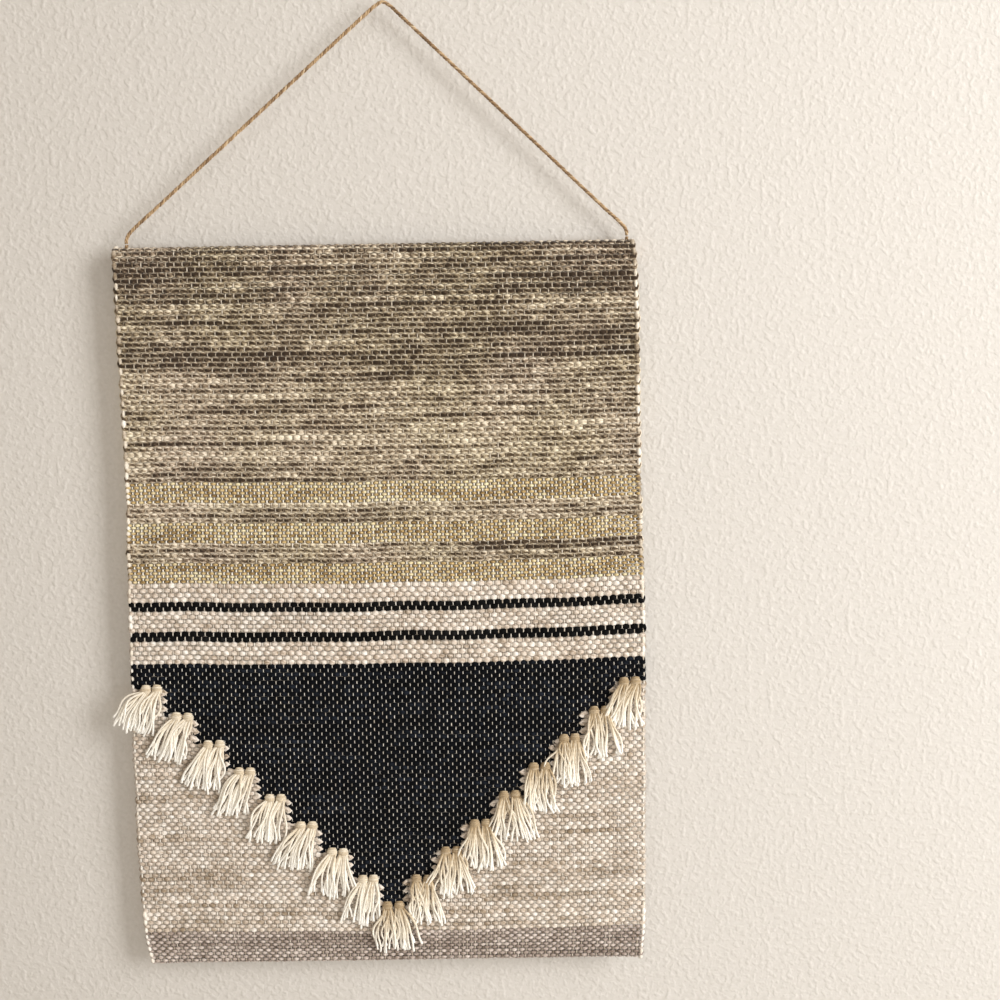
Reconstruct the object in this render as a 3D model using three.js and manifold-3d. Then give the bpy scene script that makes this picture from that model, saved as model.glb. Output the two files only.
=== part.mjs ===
// Tapestry wall hanging: a hand-woven cotton panel with a row of tassels along a stepped V, hung by
// jute twine from a dowel that lies hidden in the sleeve along the panel's top edge.
//
// Millimetres, +Z up. The front of the weave faces -Y, the wall is on the +Y side, and +X is to the
// right of someone who faces the hanging. The origin is the point where the twine rests on its nail.
import * as THREE from "three";
import { mergeVertices } from "three/addons/utils/BufferGeometryUtils.js";
import Module from "manifold-3d";

// ---------------------------------------------------------------- driving dimensions
const GAP = 0.3; // running clearance between two pieces that touch

const panel = { width: 430, height: 617, thickness: 3.4 };
const hem = { height: 24 }; // the bottom edge is folded to the back by this much
const sleeve = { flat: 9, taper: 24, lap: 12 }; // back flap: flat on the wall, sloping in, sewn down
const rod = { diameter: 10, endInset: 2.5 };
const nail = { aboveTopEdge: 190, rightOfCentre: 10 }; // where the twine is hung, from the panel
const twine = { diameter: 2.8, exitInset: 8, flexHeight: 1.2, sides: 8, steps: 78 };
const stopperKnot = { diameter: 7.2, height: 6.4 };
const thread = { width: 1.1, stitch: 12, sewnInset: 4, edgeInset: 6 };
const tassel = { perSide: 8, sideGap: 3.4, headHeight: 4.8, flare: 1.08, length: 39, sides: 12 };
const steppedV = { tipAboveBottom: 50, stepDrop: 24.4 };
const lean = { left: 0.42, centre: 0.06, right: 0.14 }; // sideways run of a tassel per unit of drop

// The twine's centreline from the left exit over the nail to the right exit: [x, z].
const TWINE_ROUTE = [
  [-217, -187.1], [-216.5, -183.2], [-213.6, -178.6], [-190, -158.1], [-130, -106.9], [-60, -47.2],
  [-14, -8.1], [-6, -1.6], [0, 1.4], [6, -1.6], [13, -8.1], [57, -49.6], [120, -109.3], [175, -161.4],
  [193.6, -178.8], [196.5, -183.2], [197, -187.1],
];

// ---------------------------------------------------------------- derived places
const rodRadius = rod.diameter / 2;
const foldRadius = rodRadius + GAP + panel.thickness / 2; // middle of the weave, round the rod
const topEdgeZ = -nail.aboveTopEdge;
const rodZ = topEdgeZ - foldRadius - panel.thickness / 2;
const bottomZ = topEdgeZ - panel.height;
const centreX = -nail.rightOfCentre;
const frontY = -foldRadius - panel.thickness / 2;
const holeX = panel.width / 2 - twine.exitInset;
const flexZ = topEdgeZ + twine.flexHeight; // the twine bends here when the panel is lifted
const tasselCount = 2 * tassel.perSide + 1;
const tasselPitch = panel.width / tasselCount;

const colours = {
  weave: new THREE.MeshStandardMaterial({ color: "#a8967f", roughness: 0.95, metalness: 0 }),
  fringe: new THREE.MeshStandardMaterial({ color: "#e4d8c6", roughness: 0.95, metalness: 0 }),
  jute: new THREE.MeshStandardMaterial({ color: "#a9844f", roughness: 0.9, metalness: 0 }),
  wood: new THREE.MeshStandardMaterial({ color: "#c9a877", roughness: 0.6, metalness: 0 }),
  thread: new THREE.MeshStandardMaterial({ color: "#d9cdb9", roughness: 0.85, metalness: 0 }),
};

// ---------------------------------------------------------------- solids and cuts
const wasm = await Module();
wasm.setup();

function solid(geometry) {
  const bare = geometry.clone();
  bare.deleteAttribute("normal");
  bare.deleteAttribute("uv");
  const merged = mergeVertices(bare, 1e-3);
  return new wasm.Manifold(
    new wasm.Mesh({
      numProp: 3,
      vertProperties: new Float32Array(merged.attributes.position.array),
      triVerts: new Uint32Array(merged.index.array),
    }),
  );
}

function geometryOf(manifold) {
  const mesh = manifold.getMesh();
  return new THREE.BufferGeometry()
    .setAttribute("position", new THREE.BufferAttribute(new Float32Array(mesh.vertProperties), 3))
    .setIndex(new THREE.BufferAttribute(new Uint32Array(mesh.triVerts), 1));
}

function drilled(geometry, holes) {
  return geometryOf(holes.reduce((body, hole) => body.subtract(solid(hole)), solid(geometry)));
}

function node(name, geometry, material) {
  const mesh = new THREE.Mesh(geometry, material);
  mesh.name = name;
  return mesh;
}

// A strip of even thickness that follows a path, as a closed outline: each side is the path moved
// sideways by half the thickness. Straight stretches keep only their ends.
function ribbonShape(path, thickness) {
  const points = path.getPoints(14).filter((p, i, all) => i === 0 || p.distanceTo(all[i - 1]) > 1e-3);
  const sides = [-1, 1].map((side) =>
    points.map((point, i) => {
      const before = points[Math.max(i - 1, 0)];
      const after = points[Math.min(i + 1, points.length - 1)];
      const intoPoint = point.clone().sub(i ? before : point).normalize();
      const outOfPoint = after.clone().sub(after === point ? before : point).normalize();
      const along = intoPoint.add(outOfPoint).normalize();
      return new THREE.Vector2(
        point.x - (side * along.y * thickness) / 2,
        point.y + (side * along.x * thickness) / 2,
      );
    }),
  );
  return new THREE.Shape([...sides[0], ...sides[1].reverse()]);
}

// Extrudes a (y, z) outline along X, centred on the panel.
function alongX(shape, length) {
  return new THREE.ExtrudeGeometry(shape, { depth: length, bevelEnabled: false, curveSegments: 1 })
    .rotateX(Math.PI / 2)
    .rotateZ(Math.PI / 2)
    .translate(-length / 2, 0, 0);
}

// ---------------------------------------------------------------- woven panel
// The section of the one woven length: up from the lap, round the rod, down the front, round the hem.
function panelSection() {
  const lapY = frontY + panel.thickness * 1.5 + GAP;
  const hemRadius = (panel.thickness + GAP) / 2;
  const frontMid = -foldRadius;
  const flatEnd = rodZ - sleeve.flat;
  const slopeEnd = flatEnd - sleeve.taper;
  const section = new THREE.Path().moveTo(lapY, slopeEnd - sleeve.lap);
  section.lineTo(lapY, slopeEnd);
  section.bezierCurveTo(lapY, slopeEnd + 8, foldRadius, flatEnd - 8, foldRadius, flatEnd);
  section.lineTo(foldRadius, rodZ);
  section.absarc(0, rodZ, foldRadius, 0, Math.PI, false);
  section.lineTo(frontMid, bottomZ + hemRadius + panel.thickness / 2);
  section.absarc(
    frontMid + hemRadius, bottomZ + hemRadius + panel.thickness / 2, hemRadius, Math.PI, 2 * Math.PI, false,
  );
  section.lineTo(frontMid + 2 * hemRadius, bottomZ + hem.height);
  return section;
}

function twineHole() {
  return new THREE.CylinderGeometry(
    twine.diameter / 2 + GAP, twine.diameter / 2 + GAP, 2 * rod.diameter, 16,
  ).rotateX(Math.PI / 2);
}

function wovenPanel() {
  const section = ribbonShape(panelSection(), panel.thickness);
  const holes = [-1, 1].map((side) => twineHole().translate(side * holeX, 0, topEdgeZ));
  return drilled(alongX(section, panel.width), holes);
}

// ---------------------------------------------------------------- rod and twine
function dowelRod() {
  const length = panel.width - 2 * rod.endInset;
  const dowel = new THREE.CylinderGeometry(rodRadius, rodRadius, length, 24)
    .rotateZ(Math.PI / 2)
    .translate(0, 0, rodZ);
  return drilled(dowel, [-1, 1].map((side) => twineHole().translate(side * holeX, 0, rodZ)));
}

// The twine's end: up through the dowel and the weave from a stopper knot, rounded where it flexes.
function cordTail() {
  const radius = twine.diameter / 2;
  const knotTop = rodZ - rodRadius - GAP;
  const profile = new THREE.Path().moveTo(0, knotTop - stopperKnot.height);
  profile.bezierCurveTo(
    stopperKnot.diameter * 0.66, knotTop - stopperKnot.height,
    stopperKnot.diameter * 0.66, knotTop,
    radius, knotTop,
  );
  profile.lineTo(radius, flexZ);
  profile.absarc(0, flexZ, radius, 0, Math.PI / 2, false);
  const points = profile.getPoints(5);
  points.at(-1).x = 0;
  return new THREE.LatheGeometry(points, 12).rotateX(Math.PI / 2);
}

function hangerCord() {
  const route = TWINE_ROUTE.map(([x, z]) => new THREE.Vector3(x, 0, z));
  const outline = new THREE.Shape().absarc(0, 0, twine.diameter / 2, 0, 2 * Math.PI);
  return new THREE.ExtrudeGeometry(outline, {
    steps: twine.steps,
    curveSegments: twine.sides / 2,
    extrudePath: new THREE.CatmullRomCurve3(route, false, "centripetal"),
  });
}

// ---------------------------------------------------------------- stitching
// A zigzag of sewing thread on the back of the weave, over the raw edge of a fold.
function zigzagStitching(backY, middleZ) {
  const length = panel.width - 2 * thread.edgeInset;
  const count = Math.round(length / thread.stitch);
  const reach = thread.sewnInset - thread.width / 2;
  const middle = Array.from({ length: count + 1 }, (_, i) => [
    -length / 2 + (i * length) / count,
    middleZ + (i % 2 ? reach : -reach),
  ]);
  const upper = middle.map(([x, z]) => new THREE.Vector2(x, z + thread.width / 2));
  const lower = middle.map(([x, z]) => new THREE.Vector2(x, z - thread.width / 2));
  return new THREE.ExtrudeGeometry(new THREE.Shape([...lower, ...upper.reverse()]), {
    depth: thread.width,
    bevelEnabled: false,
  })
    .rotateX(Math.PI / 2)
    .translate(0, backY + GAP + thread.width, 0);
}

// ---------------------------------------------------------------- tassels
// One tassel: a rounded head of knots whose middle is its hinge, and a flattened skirt of strands.
function tasselBody() {
  const headHalf = (tasselPitch - tassel.sideGap) / 2;
  const depthShare = tassel.headHeight / 2 / headHalf;
  const skirtHalf = headHalf * tassel.flare;
  const profile = new THREE.Path().moveTo(0, -tassel.length);
  profile.lineTo(skirtHalf * 0.94, -tassel.length);
  profile.lineTo(skirtHalf, -tassel.length + 2);
  profile.lineTo(headHalf * 0.86, -tassel.headHeight);
  profile.lineTo(headHalf, 0);
  profile.absellipse(0, 0, headHalf, tassel.headHeight / 2, 0, Math.PI / 2, false, 0);
  const points = profile.getPoints(3);
  points.at(-1).x = 0;
  return new THREE.LatheGeometry(points, tassel.sides)
    .rotateX(Math.PI / 2)
    .scale(1, depthShare, 1);
}

// How far a tassel's hinge stands in front of the weave, so that its skirt also clears it.
function tasselHingeY() {
  return frontY - GAP - (tassel.headHeight / 2) * tassel.flare;
}

function tasselAt(step) {
  const sideways = step < 0 ? -lean.left : step > 0 ? lean.right : lean.centre;
  const sheared = tasselBody().applyMatrix4(
    new THREE.Matrix4().set(1, 0, -sideways, 0, 0, 1, 0, 0, 0, 0, 1, 0, 0, 0, 0, 1),
  );
  const name = step === 0 ? "tassel_centre" : `tassel_${step < 0 ? "left" : "right"}_${Math.abs(step)}`;
  const mesh = node(name, sheared, colours.fringe);
  mesh.position.set(
    step * tasselPitch,
    tasselHingeY(),
    bottomZ + steppedV.tipAboveBottom - tassel.headHeight / 2 + Math.abs(step) * steppedV.stepDrop,
  );
  return mesh;
}

// ---------------------------------------------------------------- assembly
const hanging = new THREE.Group();
hanging.add(node("hanger_cord", hangerCord(), colours.jute));

const panelGroup = new THREE.Group();
panelGroup.position.x = centreX;
panelGroup.add(node("woven_panel", wovenPanel(), colours.weave));
panelGroup.add(node("dowel_rod", dowelRod(), colours.wood));
panelGroup.add(node("cord_tail_left", cordTail().translate(-holeX, 0, 0), colours.jute));
panelGroup.add(node("cord_tail_right", cordTail().translate(holeX, 0, 0), colours.jute));

const lapBackY = frontY + 2 * panel.thickness + GAP;
const lapMiddleZ = rodZ - sleeve.flat - sleeve.taper - sleeve.lap + thread.sewnInset + 2;
const hemMiddleZ = bottomZ + hem.height - thread.sewnInset - 2;
panelGroup.add(node("sleeve_stitching", zigzagStitching(lapBackY, lapMiddleZ), colours.thread));
panelGroup.add(node("hem_stitching", zigzagStitching(lapBackY, hemMiddleZ), colours.thread));

for (let step = -tassel.perSide; step <= tassel.perSide; step++) panelGroup.add(tasselAt(step));
hanging.add(panelGroup);

export default hanging;
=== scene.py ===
# %% [markdown]
# # A handwoven wall hanging
# A weaver made this hanging on a simple frame loom. Cream cotton warps run down it, and
# thick wefts of marled, gold, cream, black and navy yarn cross them in plain weave. The top
# is folded over a wooden dowel, the foot is turned up and sewn, and seventeen tassels
# follow a stepped V. This lesson draws every yarn, because at arm's length the eye sees
# the yarns one by one, and a painted sheet would look flat at the edges.

# %% Load the frame
import math

import bmesh
import bpy
import numpy as np
from mathutils import Matrix, Vector


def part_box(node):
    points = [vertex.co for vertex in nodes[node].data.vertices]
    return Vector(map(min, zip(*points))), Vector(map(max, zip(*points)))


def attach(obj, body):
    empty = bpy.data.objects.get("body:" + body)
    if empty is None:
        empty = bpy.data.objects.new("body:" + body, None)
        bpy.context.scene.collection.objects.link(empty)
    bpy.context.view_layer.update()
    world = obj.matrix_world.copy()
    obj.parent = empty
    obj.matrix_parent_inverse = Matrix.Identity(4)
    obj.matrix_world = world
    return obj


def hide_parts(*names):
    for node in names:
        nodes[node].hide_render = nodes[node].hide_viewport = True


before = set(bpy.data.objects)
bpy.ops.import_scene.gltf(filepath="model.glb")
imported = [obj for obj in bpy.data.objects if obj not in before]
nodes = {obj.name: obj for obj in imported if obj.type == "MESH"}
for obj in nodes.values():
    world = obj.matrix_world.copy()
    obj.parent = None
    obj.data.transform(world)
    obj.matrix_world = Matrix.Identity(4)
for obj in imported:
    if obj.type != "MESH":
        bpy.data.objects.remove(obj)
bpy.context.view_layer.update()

MM = 0.001

# %% [markdown]
# ## The camera
# The hanging is seen from a little to its right and from just above its middle. It hangs
# a hair crooked, since the nail isn't quite over its centre. The frame stays square and
# the camera leans by the same angle instead, so that the hanging can be used anywhere.

# %% Set the camera
camera_data = bpy.data.cameras.new("camera")
camera_data.lens = 37.8
camera_data.sensor_width = 36.0
camera_data.clip_start = 0.02
camera_data.clip_end = 50.0
camera = bpy.data.objects.new("camera", camera_data)
bpy.context.scene.collection.objects.link(camera)
bpy.context.scene.camera = camera
yaw, pitch, roll = (math.radians(angle) for angle in (0.18, -5.52, -0.96))
level = Vector((math.cos(yaw), math.sin(yaw), 0))
ahead = Vector((-math.sin(yaw), math.cos(yaw), 0)) * math.cos(pitch)
ahead.z = math.sin(pitch)
above = level.cross(ahead)
side = level * math.cos(roll) + above * math.sin(roll)
upward = above * math.cos(roll) - level * math.sin(roll)
turned = Matrix((side, upward, -ahead)).transposed().to_4x4()
CAMERA_PLACE = (0.0914, -0.8849, -0.3198)
camera.matrix_world = Matrix.Translation(CAMERA_PLACE) @ turned
print("camera looks along", [round(v, 3) for v in ahead])

# %% [markdown]
# ## Drawing yarns
# A yarn is a line with a thickness that swells and thins. Blender draws that as a curve with a round bevel: a
# ring of points for each point of the line. The curve becomes a mesh, each ring is pressed flatter where the
# yarn is, and then a bending rule lays the whole drawing where it belongs. The drawing carries four things
# for its finish. The first is a tone for each point. The second is how raised each point is, which sets the
# painted shade in the hollows where the yarns cross. The third is a map of how far along the yarn and how far
# round it each corner is. The fourth is a second map that holds each yarn in a strip of its own for baking.

# %% Wander along a line
def drift(where, scale, seed):
    """A smooth wander between about -1 and 1 along the line, with a bend every scale metres."""
    knots = np.random.default_rng(seed).uniform(-1, 1, int(np.max(where) / scale) + 3)
    place_in = np.asarray(where, float) / scale
    left = place_in.astype(int)
    part = place_in - left
    ease = part * part * (3 - 2 * part)
    return knots[left] * (1 - ease) + knots[left + 1] * ease


def travelled(points):
    """How far along its line each point is."""
    steps = np.linalg.norm(np.diff(points, axis=0), axis=1)
    return np.concatenate([[0.0], np.cumsum(steps)])


# %% Close a yarn's ends
def closed(points, radii, tones):
    """The same line with its two ends drawn in to a point, so the tube has no open end."""
    first = points[0] + (points[0] - points[1]) * 0.25
    last = points[-1] + (points[-1] - points[-2]) * 0.25
    points = np.vstack([first, points, last])
    radii = np.concatenate([[0.0], radii, [0.0]])
    tones = np.concatenate([tones[:1], tones, tones[-1:]])
    return points, radii, tones


# %% Turn lines into a mesh of yarns
SIDES = 6  # corners to a ring of a yarn
# A yarn point nearer the cloth's middle than HOLLOW gets the full painted shade of the hollows, and one
# beyond CROWN gets none.
HOLLOW, CROWN = 0.15 * MM, 1.15 * MM  # how far off the cloth's middle a yarn is dark, and fully lit


def draw_yarns(name, lines, press=1.0, lay=None, up="Z_UP", strip=400):
    """One mesh of round yarns. Each line is (points, radii, tones), and lay bends the mesh."""
    curve = bpy.data.curves.new(name, "CURVE")
    curve.dimensions, curve.twist_mode = "3D", up
    curve.bevel_depth, curve.bevel_resolution = 1.0, (SIDES - 4) // 2
    lines, radii, tones = zip(*(closed(*line) for line in lines))
    for points, thick in zip(lines, radii):
        spline = curve.splines.new("POLY")
        spline.points.add(len(points) - 1)
        spline.points.foreach_set("co", np.column_stack([points, np.ones(len(points))]).ravel())
        spline.points.foreach_set("radius", thick)
    holder = bpy.data.objects.new(name, curve)
    mesh = bpy.data.meshes.new_from_object(holder)
    bpy.data.objects.remove(holder)
    bpy.data.curves.remove(curve)
    mesh.name = name

    spot = np.empty(len(mesh.vertices) * 3, np.float32)
    mesh.vertices.foreach_get("co", spot)
    rings = spot.reshape(-1, SIDES, 3).astype(float)
    middle = rings.mean(axis=1, keepdims=True)
    rings = middle + (rings - middle) * np.array([1.0, 1.0, press])
    spot = rings.reshape(-1, 3)
    # Raised sets the painted shade in the hollows; a piece drawn without a lay gets none.
    if lay is None:
        raised = np.ones(len(spot))
    else:
        raised = np.clip((abs(spot[:, 2]) - HOLLOW) / (CROWN - HOLLOW), 0, 1)
        spot = lay(spot)
    mesh.vertices.foreach_set("co", spot.astype(np.float32).ravel())

    for label, values in (("tone", np.repeat(np.concatenate(tones), SIDES)), ("raised", raised)):
        attribute = mesh.attributes.new(label, "FLOAT", "POINT")
        attribute.data.foreach_set("value", values.astype(np.float32))
    map_yarns(mesh, np.concatenate([travelled(points) for points in lines]), strip)
    weld_ends(mesh, np.concatenate(radii))
    obj = bpy.data.objects.new(name, mesh)
    bpy.context.scene.collection.objects.link(obj)
    return obj


# %% Map the yarns
MARGIN = 0.03  # of a strip, on each side


def map_yarns(mesh, along, strip):
    """Two maps: Yarn holds metres along and turns round, OFBake holds strips of yarn."""
    corners = np.empty(len(mesh.loops), np.int32)
    mesh.loops.foreach_get("vertex_index", corners)
    ring, turn = np.divmod(corners.reshape(-1, 4), SIDES)
    wraps = (turn.max(axis=1) - turn.min(axis=1) > 1)[:, None]
    turn = np.where(wraps & (turn == 0), SIDES, turn) / SIDES
    first = ring.min(axis=1, keepdims=True)
    row, column = np.divmod(first, strip)
    rows = row.max() + 1
    while mesh.uv_layers:
        mesh.uv_layers.remove(mesh.uv_layers[0])
    yarn = mesh.uv_layers.new(name="Yarn")
    yarn.uv.foreach_set("vector", np.stack([along[ring], turn], -1).astype(np.float32).ravel())
    bake = mesh.uv_layers.new(name="OFBake")
    beside = (column + ring - first) / (strip + 1)
    upward_in = (row + (1 - 2 * MARGIN) * turn + MARGIN) / rows
    bake.uv.foreach_set("vector", np.stack([beside, upward_in], -1).astype(np.float32).ravel())
    mesh.uv_layers.active = yarn
    yarn.active_render = True


def weld_ends(mesh, radii):
    """Joins the points that were drawn in to one place at each yarn's end."""
    shape = bmesh.new()
    shape.from_mesh(mesh)
    shape.verts.ensure_lookup_table()
    tips = [shape.verts[i * SIDES + k] for i in np.flatnonzero(radii == 0) for k in range(SIDES)]
    bmesh.ops.remove_doubles(shape, verts=tips, dist=1e-6)
    bmesh.ops.recalc_face_normals(shape, faces=shape.faces)
    shape.to_mesh(mesh)
    shape.free()


def take_place(piece, body, node):
    """Makes a piece ride a body in the place of a node of the frame."""
    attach(piece, body)
    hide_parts(node)
    return piece


def triangles(obj):
    """How many triangles a piece's faces come to."""
    return sum(len(face.vertices) - 2 for face in obj.data.polygons)


# %% [markdown]
# ## The hanging twine
# The hanging hangs from one length of jute twine. It comes up through the sleeve at each
# end of the dowel, turns inward, and runs taut to the nail, where it bends over in a
# flattened crest. Three strands are laid together with a right-hand twist. A plain tube
# with a striped finish would do from afar, but the strands make the twine's bumpy outline,
# so each strand is drawn as its own line, wound round the route.

# %% Lay out the route
TWINE_ROUTE = [
    [-217, -187.1], [-216.5, -183.2], [-213.6, -178.6], [-190, -158.1], [-130, -106.9], [-60, -47.2],
    [-14, -8.1], [-6, -1.6], [0, 1.4], [6, -1.6], [13, -8.1], [57, -49.6], [120, -109.3], [175, -161.4],
    [193.6, -178.8], [196.5, -183.2], [197, -187.1],
]
TWINE_WIDTH, TWINE_LAY = 2.8 * MM, 8.5 * MM  # its thickness, and the length of one full twist
TAIL_X = {"cord_tail_left": -217 * MM, "cord_tail_right": 197 * MM}


def smooth_route(route, steps):
    """A centripetal Catmull-Rom line through the points, as even steps along it."""
    knots = np.array(route, float)
    knots = np.vstack([2 * knots[0] - knots[1], knots, 2 * knots[-1] - knots[-2]])
    when = np.concatenate([[0], np.cumsum(np.sqrt(np.linalg.norm(np.diff(knots, axis=0), axis=1)))])
    line = []
    for i in range(1, len(knots) - 2):
        t = np.linspace(when[i], when[i + 1], 40, endpoint=False)[:, None]

        def blend_of(a, b, start, end):
            return ((end - t) * a + (t - start) * b) / (end - start)

        first = [blend_of(knots[k], knots[k + 1], when[k], when[k + 1]) for k in (i - 1, i, i + 1)]
        second = [blend_of(first[k], first[k + 1], when[i - 1 + k], when[i + 1 + k]) for k in (0, 1)]
        line.append(blend_of(second[0], second[1], when[i], when[i + 1]))
    line = np.vstack([*line, knots[-2:-1]])
    far = travelled(line)
    even = np.linspace(0, far[-1], steps)
    return np.stack([np.interp(even, far, line[:, k]) for k in range(line.shape[1])], -1)


twine_line = smooth_route([[x * MM, 0.0, z * MM] for x, z in TWINE_ROUTE], 940)


# %% Lay three strands
STRANDS = 3
STRAND_REACH, STRAND_RADIUS = 0.285, 0.262  # of the twine's width


def laid_strands(line, seed):
    """Strands wound round a line, as lines with radii and tones."""
    far = travelled(line)
    heading = np.gradient(line, axis=0)
    heading /= np.linalg.norm(heading, axis=1, keepdims=True)
    across = np.cross(heading, [0.0, 1.0, 0.0])
    across /= np.linalg.norm(across, axis=1, keepdims=True)
    lines = []
    for strand in range(STRANDS):
        turn = math.tau * (far / TWINE_LAY + strand / STRANDS) + 0.35 * drift(far, 0.021, seed + strand)
        reach = TWINE_WIDTH * STRAND_REACH * (1 + 0.10 * drift(far, 0.006, seed + 10 + strand))
        wound = np.cos(turn)[:, None] * across + np.sin(turn)[:, None] * np.array([0.0, 1.0, 0.0])
        thick = TWINE_WIDTH * STRAND_RADIUS * (1 + 0.14 * drift(far, 0.004, seed + 20 + strand))
        tone = 0.5 + 0.3 * drift(far, 0.012, seed + 30 + strand)
        tone += 0.2 * drift(far, 0.0025, seed + 40 + strand)
        lines.append((line + wound * reach[:, None], thick, tone))
    return lines


# %% Let fibres stray
FIBRE_TAPER = np.array([0.06, 0.05, 0.04, 0.025]) * MM
ROOT_DEPTH = 0.36  # of the twine's width, out from its middle


def stray_fibres(line, count, reach, seed):
    """Short fibres that stand off the twine, as hair-thin lines."""
    rng = np.random.default_rng(seed)
    lines = []
    heading = np.gradient(line, axis=0)
    for start in rng.integers(4, len(line) - 5, count):
        forward = heading[start] / np.linalg.norm(heading[start])
        outward = rng.normal(size=3)
        outward -= forward * outward.dot(forward)
        outward /= np.linalg.norm(outward)
        length = rng.uniform(0.4, 1.0) * reach
        root = line[start] + outward * TWINE_WIDTH * ROOT_DEPTH
        lean = rng.choice([-1.0, 1.0]) * rng.uniform(0.5, 1.6)
        bend = rng.normal(size=3) * 0.25
        steps = np.array([0.0, 0.35, 0.7, 1.0])[:, None]
        points = root + length * (outward * steps + forward * lean * steps**1.6 + bend * steps**2)
        lines.append((points, FIBRE_TAPER, np.full(4, 0.8)))
    return lines


twine_strands = laid_strands(twine_line, 11)
twine_fuzz = stray_fibres(twine_line, 620, 1.5 * MM, 12)
twine = draw_yarns("hanging_twine", twine_strands + twine_fuzz, up="MINIMUM", strip=941)
take_place(twine, "hanger", "hanger_cord")
print("twine has", triangles(twine), "triangles")

# %% [markdown]
# ## The path of the cloth
# The cloth is one length. It starts in the sewn lap behind the front, climbs over the
# dowel, hangs down the front, turns round the foot and ends in the turned-up hem. Pattern
# space is flat: across the cloth, down along it from the crest, and out of its face. One
# rule bends pattern space into the room, so the yarns can be drawn flat and simply.

# %% Trace the path
CENTRE_X = -10 * MM
FOLD_RADIUS, HEM_RADIUS = 7.0 * MM, 1.85 * MM
ROD_Z, FOOT_Z, HEM_TOP_Z = -198.7 * MM, -806.2 * MM, -785.8 * MM
LAP_Y = -3.3 * MM
LAP_FOOT_Z, LAP_TOP_Z, SLEEVE_FOOT_Z = -0.2437, -0.2317, -0.2077


def arc(centre_y, centre_z, radius, start, end, steps):
    """Part of a circle seen from the side, from one angle in degrees to another."""
    angle = np.radians(np.linspace(start, end, steps))
    return np.stack([centre_y + radius * np.cos(angle), centre_z + radius * np.sin(angle)], -1)


t = np.linspace(0, 1, 60)[:, None]
lap_end, sleeve_end = np.array([LAP_Y, LAP_TOP_Z]), np.array([FOLD_RADIUS, SLEEVE_FOOT_Z])
pull = np.array([0, 8 * MM])  # how far each end of the taper runs straight before it bends
taper = (
    (1 - t) ** 3 * lap_end + 3 * (1 - t) ** 2 * t * (lap_end + pull)
    + 3 * (1 - t) * t**2 * (sleeve_end - pull) + t**3 * sleeve_end
)
back_path = np.vstack([[[LAP_Y, LAP_FOOT_Z]], taper, arc(0, ROD_Z, FOLD_RADIUS, 0, 90, 40)])
front_path = np.vstack([
    arc(0, ROD_Z, FOLD_RADIUS, 90, 180, 40),
    np.stack([np.full(300, -FOLD_RADIUS), np.linspace(ROD_Z, FOOT_Z, 301)[1:]], -1),
    arc(LAP_Y - HEM_RADIUS, FOOT_Z, HEM_RADIUS, 180, 360, 30)[1:],
    [[LAP_Y, HEM_TOP_Z]],
])
BACK_LENGTH = travelled(back_path)[-1]
cloth_path = np.vstack([back_path[:-1], front_path])
cloth_down = travelled(cloth_path) - BACK_LENGTH
PATH_STEP = 0.4 * MM
even_down = np.arange(cloth_down[0], cloth_down[-1], PATH_STEP)
path_y, path_z = (np.interp(even_down, cloth_down, cloth_path[:, k]) for k in (0, 1))
slope_y, slope_z = np.gradient(path_y, even_down), np.gradient(path_z, even_down)
FRONT_LENGTH = cloth_down[-1]
print("cloth runs", round(cloth_down[0], 4), "to", round(FRONT_LENGTH, 4), "m from the crest")

# %% [markdown]
# ## How the cloth really hangs
# Handwoven cloth is never square. The sides draw in where the weft was pulled tight, the
# picks bow downward towards the middle, and the foot's right corner lifts a little. These
# small departures are set here once, so every yarn, stitch and selvage follows them.

# %% Bend pattern space into the room
# Depths below the crest, and how far out an edge is there or how far the picks sag, in mm.
LEFT_EDGE = (
    [-60, 0, 60, 209, 295, 346, 434, 514, 596, 618, 645],
    [215, 216, 215.4, 214.5, 217.4, 218.4, 219.6, 220, 218, 213.5, 212],
)
RIGHT_EDGE = (
    [-60, 0, 10, 51, 200, 300, 370, 567, 596, 618, 645],
    [211, 211.5, 212.7, 215, 216, 219, 219.6, 218.6, 217.6, 215.4, 213],
)
SAG = ([-60, 0, 120, 300, 380, 520, 594, 645], [0, 0, 1.2, 3.4, 3.0, 1.7, 2.6, 1.2])
HALF_WIDTH = 215 * MM
FROM_LAP, FROM_LEFT = 0.06, 0.3  # these keep a drift's place above nought


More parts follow.
